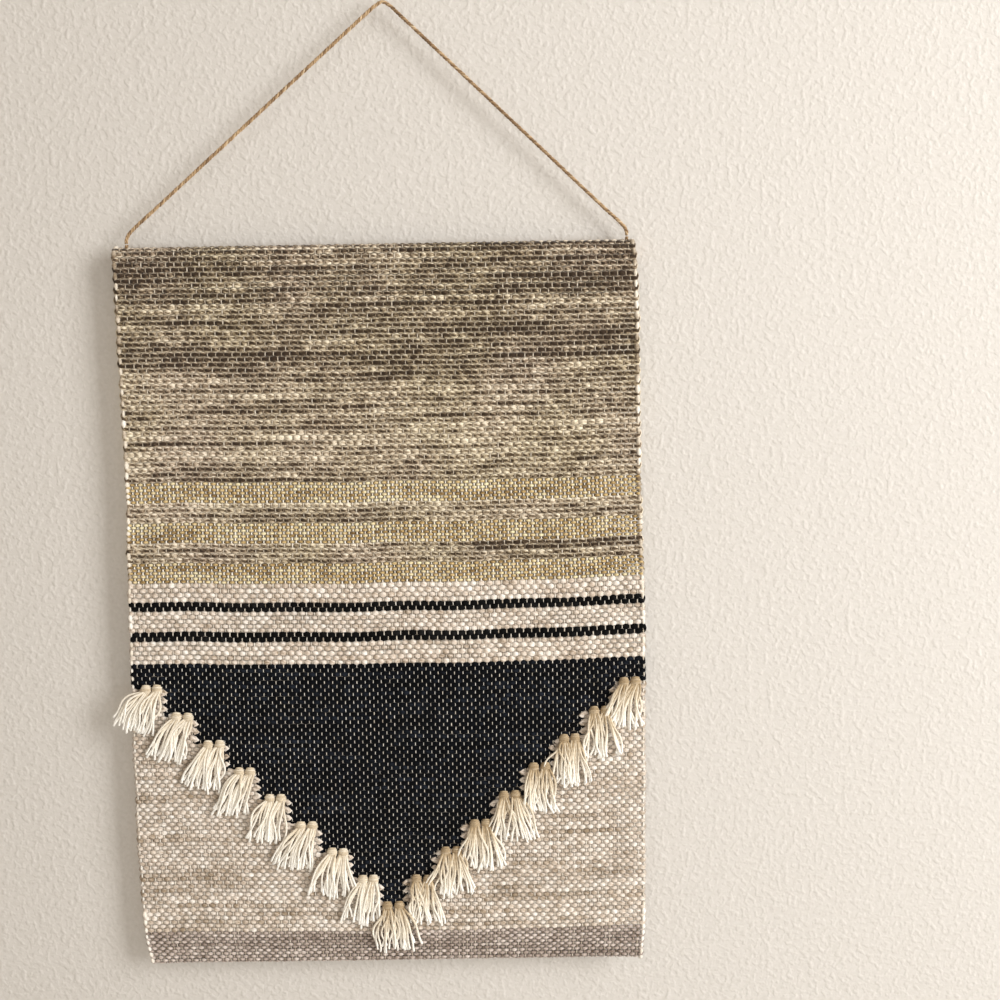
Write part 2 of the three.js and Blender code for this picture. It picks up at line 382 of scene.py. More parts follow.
def lay_cloth(points):
    """Bends points of pattern space (across, down, out), in metres, into the room."""
    across, down, out = points.T
    edge = np.where(
        across < 0,
        np.interp(down / MM, *LEFT_EDGE), np.interp(down / MM, *RIGHT_EDGE),
    ) * MM
    spread = across / HALF_WIDTH
    x = CENTRE_X + spread * edge + 0.5 * MM * drift(down + FROM_LAP, 0.016, 3) * spread**4
    to_cord = np.minimum(*(abs(x - hole) for hole in TAIL_X.values()))
    near_cord = np.exp(-((to_cord / (2.4 * MM)) ** 2))
    parted = near_cord * 1.5 * MM * np.sign(down) * np.exp(-((down / (5 * MM)) ** 2))
    shift = np.interp(down / MM, *SAG) * MM * (1 - spread**2) + parted
    shift += 0.7 * MM * drift(across + FROM_LEFT, 0.045, 4) * np.clip(down / 0.2, 0, 1)
    shift *= np.clip((FRONT_LENGTH - 0.030 - down) / 0.03, 0.12, 1)
    low = np.clip(down + shift, even_down[0], even_down[-1])
    over = down + shift - low
    y, z = np.interp(low, even_down, path_y), np.interp(low, even_down, path_z)
    ty, tz = np.interp(low, even_down, slope_y), np.interp(low, even_down, slope_z)
    hang = np.clip((down - 0.02) / 0.2, 0, 1)
    ripple = 0.4 * MM * hang * drift(across + FROM_LEFT, 0.11, 5) * drift(down + FROM_LAP, 0.17, 6)
    corner = np.clip((spread - 0.62) / 0.38, 0, 1) ** 2 * np.clip((-z - 0.745) / 0.06, 0, 1) ** 2
    y = y + ty * over + tz * out + ripple - 6.5 * MM * corner
    z = z + tz * over - ty * out + 3.0 * MM * corner
    return np.stack([x, y, z], -1)


print("foot of the cloth at z", round(lay_cloth(np.array([[0, 0.618, 0.0]]))[0, 2], 4))

# %% [markdown]
# ## The weaver's draft
# The draft lists each stripe from the back lap to the end of the hem: the yarn it is woven
# with and how many picks, or rows of weft, it has. Each yarn has a pitch, which is how far
# apart its picks are beaten, and a thickness. Plain weave means that each pick goes over
# one warp and under the next, and that the next pick does the opposite.

# %% Write the draft
CLOTH_WIDTH, WARPS, STEPS = 430.0, 126, 17  # in mm, and how many warps and steps share it
PITCH = CLOTH_WIDTH / WARPS * MM  # from one warp to the next
# Squash is thickness over width, crimp is how far a pick waves, and full and swell are its
# half width and how that changes. Slub is how uneven it is spun. Lift, warp and tick are the
# warp's wave, radius and tone where it crosses this yarn.
TRAITS = ("squash", "crimp", "full", "swell", "slub", "lift", "warp", "tick")
YARNS = {
    "marled": (0.42, 0.50, 0.49, 0.09, 0.16, 0.70, 0.46, 0.16),
    "gold": (0.66, 0.52, 0.43, 0.16, 0.06, 0.80, 0.60, 0.86),
    "cream": (0.43, 0.55, 0.50, 0.12, 0.28, 0.56, 0.46, 0.55),
    "black": (0.43, 0.60, 0.53, 0.10, 0.05, 0.62, 0.42, 0.6),
    "navy": (0.44, 0.55, 0.53, 0.10, 0.06, 0.64, 0.31, 0.8),
    "taupe": (0.50, 0.52, 0.47, 0.12, 0.14, 0.58, 0.44, 0.25),
}
YARNS = {yarn: dict(zip(TRAITS, values)) for yarn, values in YARNS.items()}
DRAFT = [  # yarn, where the stripe ends, in mm down from the crest, and its number of picks
    ("marled", 197.3, 59), ("gold", 214.3, 7), ("marled", 231.3, 4), ("gold", 248.3, 7),
    ("marled", 265.3, 4), ("gold", 282.3, 7), ("cream", 298.8, 4), ("black", 306.3, 2),
    ("cream", 324.3, 5), ("black", 332.3, 2), ("cream", 352.3, 5), ("navy", 569.3, 62),
    ("cream", 591.3, 6), ("taupe", 644.2, 19),
]
STEP_WIDTH, STEP_DROP, TIP_DOWN = CLOTH_WIDTH / STEPS * MM, 24.4 * MM, 569.3 * MM

picks, start = [], cloth_down[0] + 0.8 * MM
for stripe, (yarn, end, number) in enumerate(DRAFT):
    pitch = (end * MM - start) / number
    for k in range(number):
        picks.append({"yarn": yarn, "stripe": stripe, "down": start + (k + 0.5) * pitch, "pitch": pitch})
    start = end * MM
for order, pick in enumerate(picks):
    pick["order"] = order
print(len(picks), "picks, each over and under", WARPS, "warps")

# %% [markdown]
# ## Weaving a yarn back and forth
# A weft yarn runs across, turns round the last warp and comes back, so each stripe is one
# long line. It is drawn three points to a warp. It swells where it lies over a warp and is
# pinched where a warp crosses it, and it is thicker in some places than in others, because
# it was spun by hand.

# %% Draw one weft yarn
POINTS_PER_WARP = 3
BOW = np.array([0.18, 0.5, 0.82])  # where the points of a turn lie between two rows
EDGE_ROOM = 0.6 * MM  # what a row leaves for its turns


def weft(rows, seed, tone_of, turn_out=(0.9, 0.9), turn_lift=(0.0, 0.0), yarn=None):
    """One weft yarn through rows of (pick, left, right). Its turns reach out and lift by left, right mm."""
    points, radii, downs = [], [], []
    for k, (pick, left, right) in enumerate(rows):
        kind = YARNS[yarn or pick["yarn"]]
        steps = max(4, int(round((right - left) / PITCH * POINTS_PER_WARP)))
        across = np.linspace(left, right, steps + 1)
        warp = (across + HALF_WIDTH) / PITCH - 0.5
        wave = np.cos(math.pi * (warp + pick["order"]))
        out = kind["crimp"] * MM * wave
        width = pick["pitch"] * (kind["full"] + kind["swell"] * wave)
        down = np.full(len(across), pick["down"])
        if k % 2:
            across, out, width = across[::-1], out[::-1], width[::-1]
        points.append(np.stack([across, down, out], -1))
        radii.append(width)
        downs.append(down)
        if k + 1 < len(rows):
            right_hand = k % 2 == 0
            reach = turn_out[right_hand] * MM * (1 if right_hand else -1)
            ahead_edge = rows[k + 1][2 if right_hand else 1]
            edge = right if right_hand else left
            turn = edge + (ahead_edge - edge) * BOW + reach * np.sin(math.pi * BOW)
            path = pick["down"] + (rows[k + 1][0]["down"] - pick["down"]) * BOW
            lift = turn_lift[right_hand] * MM * np.sin(math.pi * BOW)
            points.append(np.stack([turn, path, lift], -1))
            loose = turn_out[right_hand] > 3
            radii.append(np.full(3, pick["pitch"] * (0.50 if loose else 0.40)))
            downs.append(path)
    points, radii, downs = np.vstack(points), np.concatenate(radii), np.concatenate(downs)
    far = travelled(points)
    kind = YARNS[yarn or rows[0][0]["yarn"]]
    slub = 0.6 * drift(far, 0.009, seed) + 0.4 * drift(far, 0.031, seed + 1)
    radii = radii * (1 + kind["slub"] * slub)
    points[:, 2] += 0.16 * MM * drift(far, 0.007, seed + 2)
    points[:, 1] += 0.20 * MM * drift(far, 0.05, seed + 3) + 0.16 * MM * drift(far, 0.011, seed + 4)
    return points, radii, tone_of(far, downs, seed)


def stripe_rows(stripe, first=0, last=None):
    """The rows of one stripe, or of some of its picks, from edge to edge."""
    chosen = [pick for pick in picks if pick["stripe"] == stripe][first:last]
    edge = HALF_WIDTH - EDGE_ROOM
    return [(pick, -edge, edge) for pick in chosen]


# %% Choose the yarns' tones
MARL = (  # depths below the crest in mm, and the marled yarn's tone there
    [-60, 0, 30, 55, 68, 78, 98, 112, 125, 150, 175, 190, 194, 198, 265],
    [0.63, 0.60, 0.63, 0.70, 0.67, 0.55, 0.55, 0.80, 0.87, 0.86, 0.90, 0.90, 0.62, 0.84, 0.86],
)


def marled_tone(far, down, seed):
    """Light and dark run along the yarn for a hand's breadth or two, darkest a quarter way down."""
    long_run = drift(far, 0.21, seed + 5) + 0.7 * drift(far, 0.085, seed + 6)
    short_run = drift(far, 0.019, seed + 7)
    speckle = drift(far, 0.0045, seed + 8)
    return np.interp(down / MM, *MARL) + 0.21 * long_run + 0.13 * short_run + 0.22 * speckle


def cream_tone(far, down, seed):
    """Nearly even, with darker streaks that come in below the middle of the cloth."""
    streak = np.clip(drift(far, 0.09, seed + 5) * 1.4 - 0.3, 0, 1) * np.clip((down - 0.40) / 0.1, 0.12, 1)
    return 0.53 + 0.26 * drift(far, 0.0042, seed + 6) + 0.14 * drift(far, 0.03, seed + 7) - 0.34 * streak


def speckled_tone(far, down, seed):
    """Small specks on a slow wander, for yarn dyed in one colour."""
    return 0.5 + 0.28 * drift(far, 0.004, seed + 5) + 0.22 * drift(far, 0.05, seed + 6)


# %% Rule the stepped V
V_STRIPE, FOOT_STRIPE = 11, 12  # the stripe that holds the V, and the cream one below it
NAVY_ROOM = 0.8 * MM


def navy_half_width(down):
    """Half the width of the navy at this depth: a column narrower on each side at each step."""
    column = np.floor((TIP_DOWN - down) / STEP_DROP)
    return min((column + 0.5) * STEP_WIDTH, HALF_WIDTH)


navy_rows, left_rows, right_rows = [], [], []
for pick, left, right in stripe_rows(V_STRIPE):
    half = navy_half_width(pick["down"])
    if half >= HALF_WIDTH:
        navy_rows.append((pick, left, right))
    else:
        navy_rows.append((pick, -half + NAVY_ROOM, half - NAVY_ROOM))
        left_rows.append((pick, left, -half - EDGE_ROOM))
        right_rows.append((pick, half + EDGE_ROOM, right))
print(len(navy_rows), "navy picks,", len(left_rows), "with cream beside them")

# %% [markdown]
# ## Weaving the stripes
# Each group of stripes is one piece, small enough to handle, with its own finish.

# %% Weave them
TOP_PICKS = 38  # the picks of the first stripe that belong to marled_top
MARLED, GOLD, CREAM, BLACK, HEM = (2, 4), (1, 3, 5), (6, 8, 10), (7, 9), 13
WOVEN = [  # the piece's name, its yarn and that yarn's lines
    ("marled_top", "marled", [weft(stripe_rows(0, 0, TOP_PICKS), 101, marled_tone)]),
    ("marled_lower", "marled", [weft(stripe_rows(0, TOP_PICKS), 140, marled_tone)]
     + [weft(stripe_rows(s), 150 + s * 12, marled_tone) for s in MARLED]),
    ("gold_stripes", "gold", [weft(stripe_rows(s), 220 + s * 12, speckled_tone) for s in GOLD]),
    ("cream_stripes", "cream", [weft(stripe_rows(s), 300 + s * 12, cream_tone) for s in CREAM]),
    ("black_lines", "black", [weft(stripe_rows(s), 460 + s * 12, speckled_tone) for s in BLACK]),
    ("navy_field", "navy", [weft(navy_rows, 600, speckled_tone, (0.2, 0.2), (-0.5, -0.5))]),
    ("cream_ground", "cream", [
        weft(left_rows, 900, cream_tone, (0.9, 4.0), (0.0, 1.5), "cream"),
        weft(right_rows, 920, cream_tone, (4.0, 0.9), (1.5, 0.0), "cream"),
        weft(stripe_rows(FOOT_STRIPE), 940, cream_tone),
    ]),
    ("taupe_hem", "taupe", [weft(stripe_rows(HEM), 700, speckled_tone, (0.8, 0.8))]),
]
stripes = {}
for name, yarn, lines in WOVEN:
    stripes[name] = draw_yarns(name, lines, press=YARNS[yarn]["squash"], lay=lay_cloth, strip=420)
    take_place(stripes[name], "panel", "woven_panel")
    print(name, triangles(stripes[name]), "triangles")

# %% [markdown]
# ## The warps
# A warp shows only as a short tick where it crosses over a pick, but those ticks are the
# sparkle of the navy. Each warp is a thin cord that dives behind the picks it doesn't
# cross. The outermost warp on each side is doubled, as weavers do to firm the selvage.

# %% Stretch one warp
def warp(number):
    """One warp end from the lap to the hem, as a line with radii and tones."""
    across = (number + 0.5) * PITCH - HALF_WIDTH
    down, out, thick, tones = [cloth_down[0] + 0.2 * MM], [0.0], [0.5], [0.5]
    for pick, following in zip(picks, [*picks[1:], picks[-1]]):
        kind = YARNS[pick["yarn"]]
        if pick["yarn"] == "navy" and abs(across) > navy_half_width(pick["down"]):
            kind = YARNS["cream"]
        side_of = -math.cos(math.pi * (number + pick["order"]))
        down += [pick["down"], (pick["down"] + following["down"]) / 2]
        out += [kind["lift"] * MM * side_of, 0.0]
        thick += [kind["warp"], kind["warp"]]
        tones += [kind["tick"], kind["tick"]]
    down[-1] = FRONT_LENGTH + 1.2 * MM
    down, out = np.array(down), np.array(out)
    place = down + FROM_LAP
    sway = 0.24 * MM * drift(place, 0.007, 1000 + number)
    thick = np.array(thick) * (1 + 0.22 * drift(place, 0.033, 1800 + number))
    if number in (0, WARPS - 1):
        across += 0.9 * MM * (1 if number else -1)
        thick, out, tones = doubled(place, out, number)
    points = np.stack([across + sway, down, out], -1)
    radii = thick * MM * (1 + 0.20 * drift(place, 0.005, 1200 + number))
    tones = np.array(tones) + 0.25 * drift(place, 0.02, 1400 + number)
    tones += 0.2 * drift(place, 0.004, 1600 + number)
    return points, radii, tones


def among(*yarns):
    """For each point of a warp, whether it crosses one of these yarns."""
    return np.array([True] + [pick["yarn"] in yarns for pick in picks for half in (0, 1)])


def doubled(place, out, number):
    """The doubled warp at an edge: it bobs out between the turns, least beside dark yarn."""
    hidden = np.where(among("navy", "black"), 0.45, 1.0)
    thick = (1.55 + 0.75 * out / max(out)) * (1 + 0.35 * drift(place, 0.011, 2000 + number)) * hidden
    tones = np.where(among("marled", "gold"), 0.46, 0.82) + 0.34 * drift(place, 0.009, 2200 + number)
    return thick, out * 0.45, tones


# %% Stretch them all
GROUP = 32  # warps to a piece
warps = []
for group in range(4):
    span = range(group * GROUP, min((group + 1) * GROUP, WARPS))
    piece = draw_yarns(f"warps_{group + 1}", [warp(k) for k in span], lay=lay_cloth, strip=397)
    warps.append(take_place(piece, "panel", "woven_panel"))
    print(piece.name, triangles(piece), "triangles")

# %% [markdown]
# ## The tassels
# Each tassel is two rya knots side by side. A bundle of cotton is wrapped round a pair of
# warps, which leaves a plump cap across the front, and its ends come out under the cap and
# fall. They start fanned out and turn downward under their own weight. On the left they
# lean outward, where a hand has brushed them, and on the right they hang straighter.

# %% Tie one tassel
TASSELS = (
    [(f"tassel_left_{k}", -k) for k in range(8, 0, -1)] + [("tassel_centre", 0)]
    + [(f"tassel_right_{k}", k) for k in range(1, 9)]
)
CLOTH_FRONT = -8.9 * MM
TIP_Z = -759.4 * MM  # the height of the cloth at the tip of the V
KNOT_TURNS, KNOT_STRANDS = 5, 14


def knot_wraps(centre, top, painted_shade, rng):
    """The cap: turns of the bundle across the front of two warps, toned with the cap's painted shade and a
    small random spread for each turn.
    """
    lines = []
    sweep = np.linspace(0.0, math.pi, 9)
    thick = np.full(9, 0.92 * MM)
    for turn in range(KNOT_TURNS):
        reach = (3.9 - 0.22 * (turn - 2.4) ** 2) * MM * rng.uniform(0.94, 1.05)
        bulge = (3.3 - 0.35 * abs(turn - 1.8)) * MM
        x = centre + reach * np.cos(sweep)
        y = CLOTH_FRONT + 0.5 * MM - bulge * np.sin(sweep) ** 0.75
        z = top - (0.5 + turn * 1.3) * MM + (1.3 - 0.35 * turn) * MM * np.sin(sweep)
        wrap_shade_and_tone = np.full(9, painted_shade + rng.uniform(-0.1, 0.1))
        lines.append((np.stack([x, y, z], -1), thick, wrap_shade_and_tone))
    return lines


def falling_strand(root, lean_start, lean_end, length, painted_shade, rng):
    """One cut end: it leaves the knot fanned and turns towards the vertical. Its tone rises from painted
    shade at the root to the cotton's full tone at the tip.
    """
    t = np.linspace(0, 1, 13)
    lean = lean_end + (lean_start - lean_end) * (1 - t) ** 1.3 + 0.10 * rng.normal() * np.sin(math.pi * t)
    lean += 0.22 * rng.normal() * np.sin(math.tau * t + rng.uniform(0, 6))
    step = length / (len(t) - 1)
    x = root[0] + np.concatenate([[0], np.cumsum(np.sin(lean[1:]) * step)])
    z = root[2] - np.concatenate([[0], np.cumsum(np.cos(lean[1:]) * step)])
    stand = rng.uniform(0.2, 1.0)
    y = root[1] - (1.6 + 1.5 * stand) * MM * np.sin(math.pi * np.clip(t * 1.15, 0, 1)) ** 0.8
    y = np.minimum(y + 1.1 * MM * t * (1 - stand), CLOTH_FRONT - 0.75 * MM)
    radii = (0.90 + 0.08 * rng.normal()) * MM * (1 + 0.22 * np.clip((t - 0.86) / 0.14, 0, 1))
    return np.stack([x, y, z], -1), radii, painted_shade + (1 - painted_shade) * t**0.9


# %% Place a tassel's knots and strands
def tassel_lines(column):
    """The lines of the tassel on this step of the V, counted from the tip, minus on the left."""
    rng = np.random.default_rng(5000 + column)
    on_left = column < 0
    rise = 4.2 + 0.2 * column if column > 0 else 5.2
    top = TIP_Z + abs(column) * STEP_DROP + rise * MM
    edge = np.interp(-top / MM - 190, *(LEFT_EDGE if on_left else RIGHT_EDGE)) * MM
    x = CENTRE_X + column * STEP_WIDTH / HALF_WIDTH * edge + (4.5 * MM if on_left else 0)
    # Painted shade: the knots' caps and the strands' roots are painted darker, far darker on the right than
    # on the left, and each strand lightens towards its tip.
    cap_painted_shade, root_painted_shade = (0.44, 0.58) if on_left else (0.16, 0.26)
    fan = 0.27 if column > 0 else 0.20
    if on_left:
        lean = -0.29 + 0.034 * column
    else:
        lean = {0: -0.04, 8: -0.22}.get(column, 0.04)
    lines = []
    for knob in (-1, 1):
        centre = x + knob * 4.9 * MM + rng.uniform(-0.4, 0.4) * MM
        drop = rng.uniform(-0.5, 0.5) * MM
        lines += knot_wraps(centre, top + drop, cap_painted_shade, rng)
        own_lean = lean + rng.normal() * 0.09 + knob * 0.05
        clumps = 0.13 * rng.normal(size=5)
        half = (KNOT_STRANDS - 1) / 2
        for k in range(KNOT_STRANDS):
            spot = (k - half) / half
            root_y = CLOTH_FRONT - 0.8 * MM - rng.uniform(0, 1.1) * MM
            root = [centre + spot * 3.1 * MM, root_y, top + drop - 4.6 * MM]
            start = own_lean * 1.15 + spot * fan * 1.5 + 0.07 * rng.normal()
            end = own_lean * 0.60 + spot * fan * 0.45 + clumps[k // 3] + 0.06 * rng.normal()
            length = (38.5 + 2.0 * rng.normal()) * MM
            # Every second strand gets a darker painted shade at its root.
            painted_shade = root_painted_shade - 0.2 * (k % 2)
            lines.append(falling_strand(root, start, end, length, painted_shade, rng))
    return lines


# %% Tie them all
fringe = []
for name, column in TASSELS:
    piece = draw_yarns(name + "_fringe", tassel_lines(column), up="MINIMUM", strip=45)
    fringe.append(take_place(piece, name + "_body", name))
print(len(fringe), "tassels,", sum(triangles(piece) for piece in fringe), "triangles")

# %% [markdown]
# ## Cord tails and stitches
# Under the crest the twine goes down through the dowel and is stopped by an overhand knot.
# The tails turn with the cloth, so they are pieces of their own. Behind, the lap and the
# hem are closed with a running stitch of plain thread, drawn as small arcs.

# %% Knot the tails
TAIL_TOP_Z, KNOT_RADIUS = -188.4 * MM, 2.3 * MM
tails = []
for name, x in TAIL_X.items():
    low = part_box(name)[0]
    knot_z = low.z + 3.2 * MM
    shaft = np.stack([np.full(60, x), np.zeros(60), np.linspace(TAIL_TOP_Z, knot_z, 60)], -1)
    lines = laid_strands(shaft, 31)
    sweep = np.linspace(0, math.tau * 0.98, 28)
    for turn, tilt in enumerate((0.5, -0.6, 0.1)):
        ring_x, ring_y = KNOT_RADIUS * np.cos(sweep + turn), KNOT_RADIUS * np.sin(sweep + turn)
        ring_z = 1.1 * MM * np.sin(sweep * 1.5 + turn * 2) + (turn - 1) * 0.9 * MM
        ring_z += ring_x * math.sin(tilt) * 0.5
        ring = np.stack([x + ring_x, ring_y, knot_z + ring_z], -1)
        lines.append((ring, np.full(28, 1.15 * MM), 0.5 + 0.3 * drift(sweep * MM, 0.6 * MM, 50 + turn)))
    piece = draw_yarns(name + "_knotted", lines, up="MINIMUM", strip=70)
    tails.append(take_place(piece, "panel", name))

# %% Sew the running stitches
STITCH, STITCH_PITCH = 7.2 * MM, 12 * MM
seams = []
for name in ("sleeve_stitching", "hem_stitching"):
    low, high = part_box(name)
    lines = []
    run = np.linspace(0, 1, 9)
    y = (low.y + high.y) / 2 - 1.1 * MM + 1.3 * MM * np.sin(math.pi * run) ** 0.6
    for start in np.arange(low.x + 3 * MM, high.x - 8 * MM, STITCH_PITCH):
        z = (low.z + high.z) / 2 + 0.5 * MM * drift(np.full(9, start + 0.5), 0.03, 77)
        points = np.stack([start + STITCH * run, y, z], -1)
        lines.append((points, np.full(9, 0.42 * MM), np.full(9, 0.5)))
    piece = draw_yarns(name + "_thread", lines, strip=60)
    seams.append(take_place(piece, "panel", name))
print(len(tails), "knotted tails and", len(seams), "seams")

# %% [markdown]
# ## Writing finishes as sums
# A finish in Blender is a graph of nodes, which is slow to read. Here a number that varies
# over a surface is wrapped, so that adding or multiplying two of them adds the node that
# does it. Colours are mixed with their own node, because a sum would turn them grey.

# %% A small workbench for finishes
class Varying:
    """A node's output, wrapped so that sums can be written as sums."""

    def __init__(self, finish, socket):
        self.finish, self.socket = finish, socket

    def sum(self, operation, *others):
        return self.finish.node("ShaderNodeMath", {"operation": operation}, dict(enumerate(others)))

    def __add__(self, other):
        return self.sum("ADD", self, other)

    def __sub__(self, other):
        return self.sum("SUBTRACT", self, other)

    def __mul__(self, other):
        return self.sum("MULTIPLY", self, other)

    def __rsub__(self, other):
        return self.sum("SUBTRACT", other, self)

    __radd__, __rmul__ = __add__, __mul__

    def sine(self):
        return self.sum("SINE", self)

    def held(self):
        return self.finish.node("ShaderNodeClamp", {}, {"Value": self})


class Finish:
    """One material with its shader, and the means to add nodes to it."""

    def __init__(self, name, **constants):
        self.material = bpy.data.materials.new(name)
        self.material.use_nodes = True
        self.tree = self.material.node_tree
        self.tree.nodes.clear()
        self.shader = self.tree.nodes.new("ShaderNodeBsdfPrincipled")
        end = self.tree.nodes.new("ShaderNodeOutputMaterial")
        self.tree.links.new(self.shader.outputs[0], end.inputs["Surface"])
        for socket, value in constants.items():
            self.shader.inputs[socket.replace("_", " ")].default_value = value

    def node(self, kind, settings, sockets, output=0):
        """Adds a node: its settings first, then its sockets' values or links."""
        made = self.tree.nodes.new(kind)
        for key, value in settings.items():
            if key == "stops":
                ramp = made.color_ramp
                while len(ramp.elements) < len(value):
                    ramp.elements.new(0.5)
                for element, (position, colour) in zip(ramp.elements, value):
                    element.position, element.color = position, colour
            else:
                setattr(made, key, value)
        for key, value in sockets.items():
            if isinstance(value, Varying):
                self.tree.links.new(value.socket, made.inputs[key])
            else:
                made.inputs[key].default_value = value
        return Varying(self, made.outputs[output])

    def drive(self, socket, value):
        self.tree.links.new(value.socket, self.shader.inputs[socket])

    def tone(self):
        return self.node("ShaderNodeAttribute", {"attribute_name": "tone"}, {}, "Fac")

    def painted_hollow_shade(self, colour, floor):
        """The colour with painted shade: darker down where the yarns cross, by as much as floor says."""
        raised = self.node("ShaderNodeAttribute", {"attribute_name": "raised"}, {}, "Fac")
        deep = self.node("ShaderNodeVectorMath", {"operation": "SCALE"}, {0: colour, "Scale": floor})
        return self.blend_colour(raised, deep, colour)

    def yarn(self):
        """Metres along the yarn, and turns round it."""
        place_on = self.node("ShaderNodeUVMap", {"uv_map": "Yarn"}, {})
        split = self.node("ShaderNodeSeparateXYZ", {}, {0: place_on})
        return split, Varying(self, split.socket.node.outputs[1])

    def noise(self, vector, scale, detail=3.0, rough=0.55):
        sockets = {"Vector": vector, "Scale": scale, "Detail": detail, "Roughness": rough}
        return self.node("ShaderNodeTexNoise", {}, sockets)

    def where(self):
        return self.node("ShaderNodeTexCoord", {}, {}, "Object")

    def vector(self, x, y, z=0.0):
        return self.node("ShaderNodeCombineXYZ", {}, {0: x, 1: y, 2: z})

    def blend_colour(self, amount, first, second):
        sockets = {0: amount, 6: first, 7: second}
        return self.node("ShaderNodeMix", {"data_type": "RGBA"}, sockets, 2)

    def ramp(self, value, stops):
        return self.node("ShaderNodeValToRGB", {"stops": stops}, {0: value})

    def raise_grain(self, height, strength, distance):
        bump = self.node("ShaderNodeBump", {}, {"Height": height, "Strength": strength, "Distance": distance})
        self.drive("Normal", bump)


# %% Pick colours
def paint(red, green, blue):
    """A colour as a maker would pick it on a screen, 0 to 255, in the shader's linear scale."""
    def linear(part):
        part /= 255
        return part / 12.92 if part <= 0.04045 else ((part + 0.055) / 1.055) ** 2.4

    return (linear(red), linear(green), linear(blue), 1.0)


def dyes(*stops):
    """The stops of a ramp, from a place between 0 and 1 and a colour for each."""
    return [(place, paint(*colour)) for place, *colour in stops]


def rising(low, high):
    """The stops of a ramp from nothing to everything."""
    return [(low, (0, 0, 0, 1)), (high, (1, 1, 1, 1))]


# %% [markdown]
# ## Yarn finishes
# Spun yarn is fibres lying on a slant. Fine streaks follow the slant, so they are drawn from the map that
# runs along and round each yarn. The tone decides the dye, the streaks mottle it, and both raise the grain a
# little. Where the yarns cross, the colour is painted darker, as painted shade in the hollows. Wool and
# cotton scatter light at grazing angles, which the sheen gives.

# %% Dye a yarn
QUARTER_TURN = math.pi / 2
SECOND_PLY = 0.524  # of a radian, by which the second colour's ply is turned


def yarn_finish(
    name, stops, slant=190.0, turns=3.0, mottle=0.35, grain=0.5, sheen=0.2,
    tint=None, plies=0.0, floor=0.45,
):
    """Slant and turns lay the fibres, plies is how plainly two colours twist together, and floor is how dark
    the painted shade in the hollows gets.
    """
    finish = Finish(name, Roughness=0.9, Sheen_Weight=sheen, Sheen_Roughness=0.55, Specular_IOR_Level=0.1)
    along, turn = finish.yarn()
    ply = (along * (slant * math.tau) + turn * (turns * math.tau)).sine()
    angle = turn * math.tau
    rolled = finish.vector(along * 420, angle.sine() * 3.2, (angle + QUARTER_TURN).sine() * 3.2)
    strands = finish.noise(rolled, 1.0)
    hairs = finish.noise(finish.where(), 1600.0, 2.0)
    tone = finish.tone() + (strands - 0.5) * mottle
    tone = tone + (hairs - 0.5) * (0.5 * mottle) + ply * (0.10 * mottle)
    if plies:
        tone = tone - (angle * 2 + SECOND_PLY).sine() * (plies * 1.25)
        turning = angle + finish.noise(finish.vector(along * 9, 0.0), 1.0, 2.0) * 9.0
        tone = tone + turning.sine() * plies
    colour = finish.ramp(tone.held(), stops)
    if tint:
        broad = finish.ramp(finish.noise(finish.where(), 9.0, 2.0), rising(0.40, 0.64))
        colour = finish.blend_colour(broad * 0.5, colour, finish.ramp(tone.held(), tint))
    # Painted shade: the base colour is darker down where the yarns cross.
    finish.drive("Base Color", finish.painted_hollow_shade(colour, floor))
    finish.drive("Roughness", 0.82 + strands * 0.14)
    finish.raise_grain(ply * 0.35 + strands * 0.9 + hairs * 0.35, grain, 0.35 * MM)
    return finish.material


# %% Dye the cloth's yarns
# Floor sets how dark each yarn's painted shade in the hollows gets; the gold's is darkest.
marled = yarn_finish(
    "marled_yarn",
    dyes((0.05, 54, 41, 28), (0.30, 106, 90, 68), (0.58, 182, 165, 136), (0.95, 253, 242, 216)),
    mottle=1.5, plies=0.27, floor=0.74,
    tint=dyes((0.05, 62, 48, 38), (0.30, 114, 95, 82), (0.58, 194, 172, 154), (0.95, 255, 242, 229)),
)
gold = yarn_finish(
    "gold_yarn", dyes((0.0, 112, 84, 46), (0.45, 213, 182, 124), (0.85, 255, 244, 202)),
    mottle=0.9, floor=0.10,
)
cream = yarn_finish(
    "cream_yarn",
    dyes((0.02, 160, 141, 118), (0.35, 214, 198, 181), (0.65, 242, 231, 219), (1.0, 255, 251, 245)),
    mottle=1.0, grain=0.8, floor=0.58,
)
black = yarn_finish(
    "black_yarn", dyes((0.0, 3, 3, 3), (0.6, 10, 10, 10), (1.0, 32, 31, 31)), mottle=0.5, sheen=0.015,
)
navy = yarn_finish(
    "navy_yarn", dyes((0.0, 2, 3, 6), (0.55, 8, 11, 17), (1.0, 32, 38, 49)), mottle=0.7, sheen=0.015,
)
taupe = yarn_finish(
    "taupe_yarn", dyes((0.0, 142, 125, 114), (0.5, 197, 181, 171), (1.0, 242, 230, 222)),
    mottle=1.0, floor=0.42,
)
warp_cotton = yarn_finish(
    "warp_cotton",
    dyes((0.0, 132, 114, 92), (0.3, 204, 190, 170), (0.6, 240, 230, 214), (1.0, 255, 250, 241)),
    slant=420.0, turns=1.0, mottle=0.3,
)

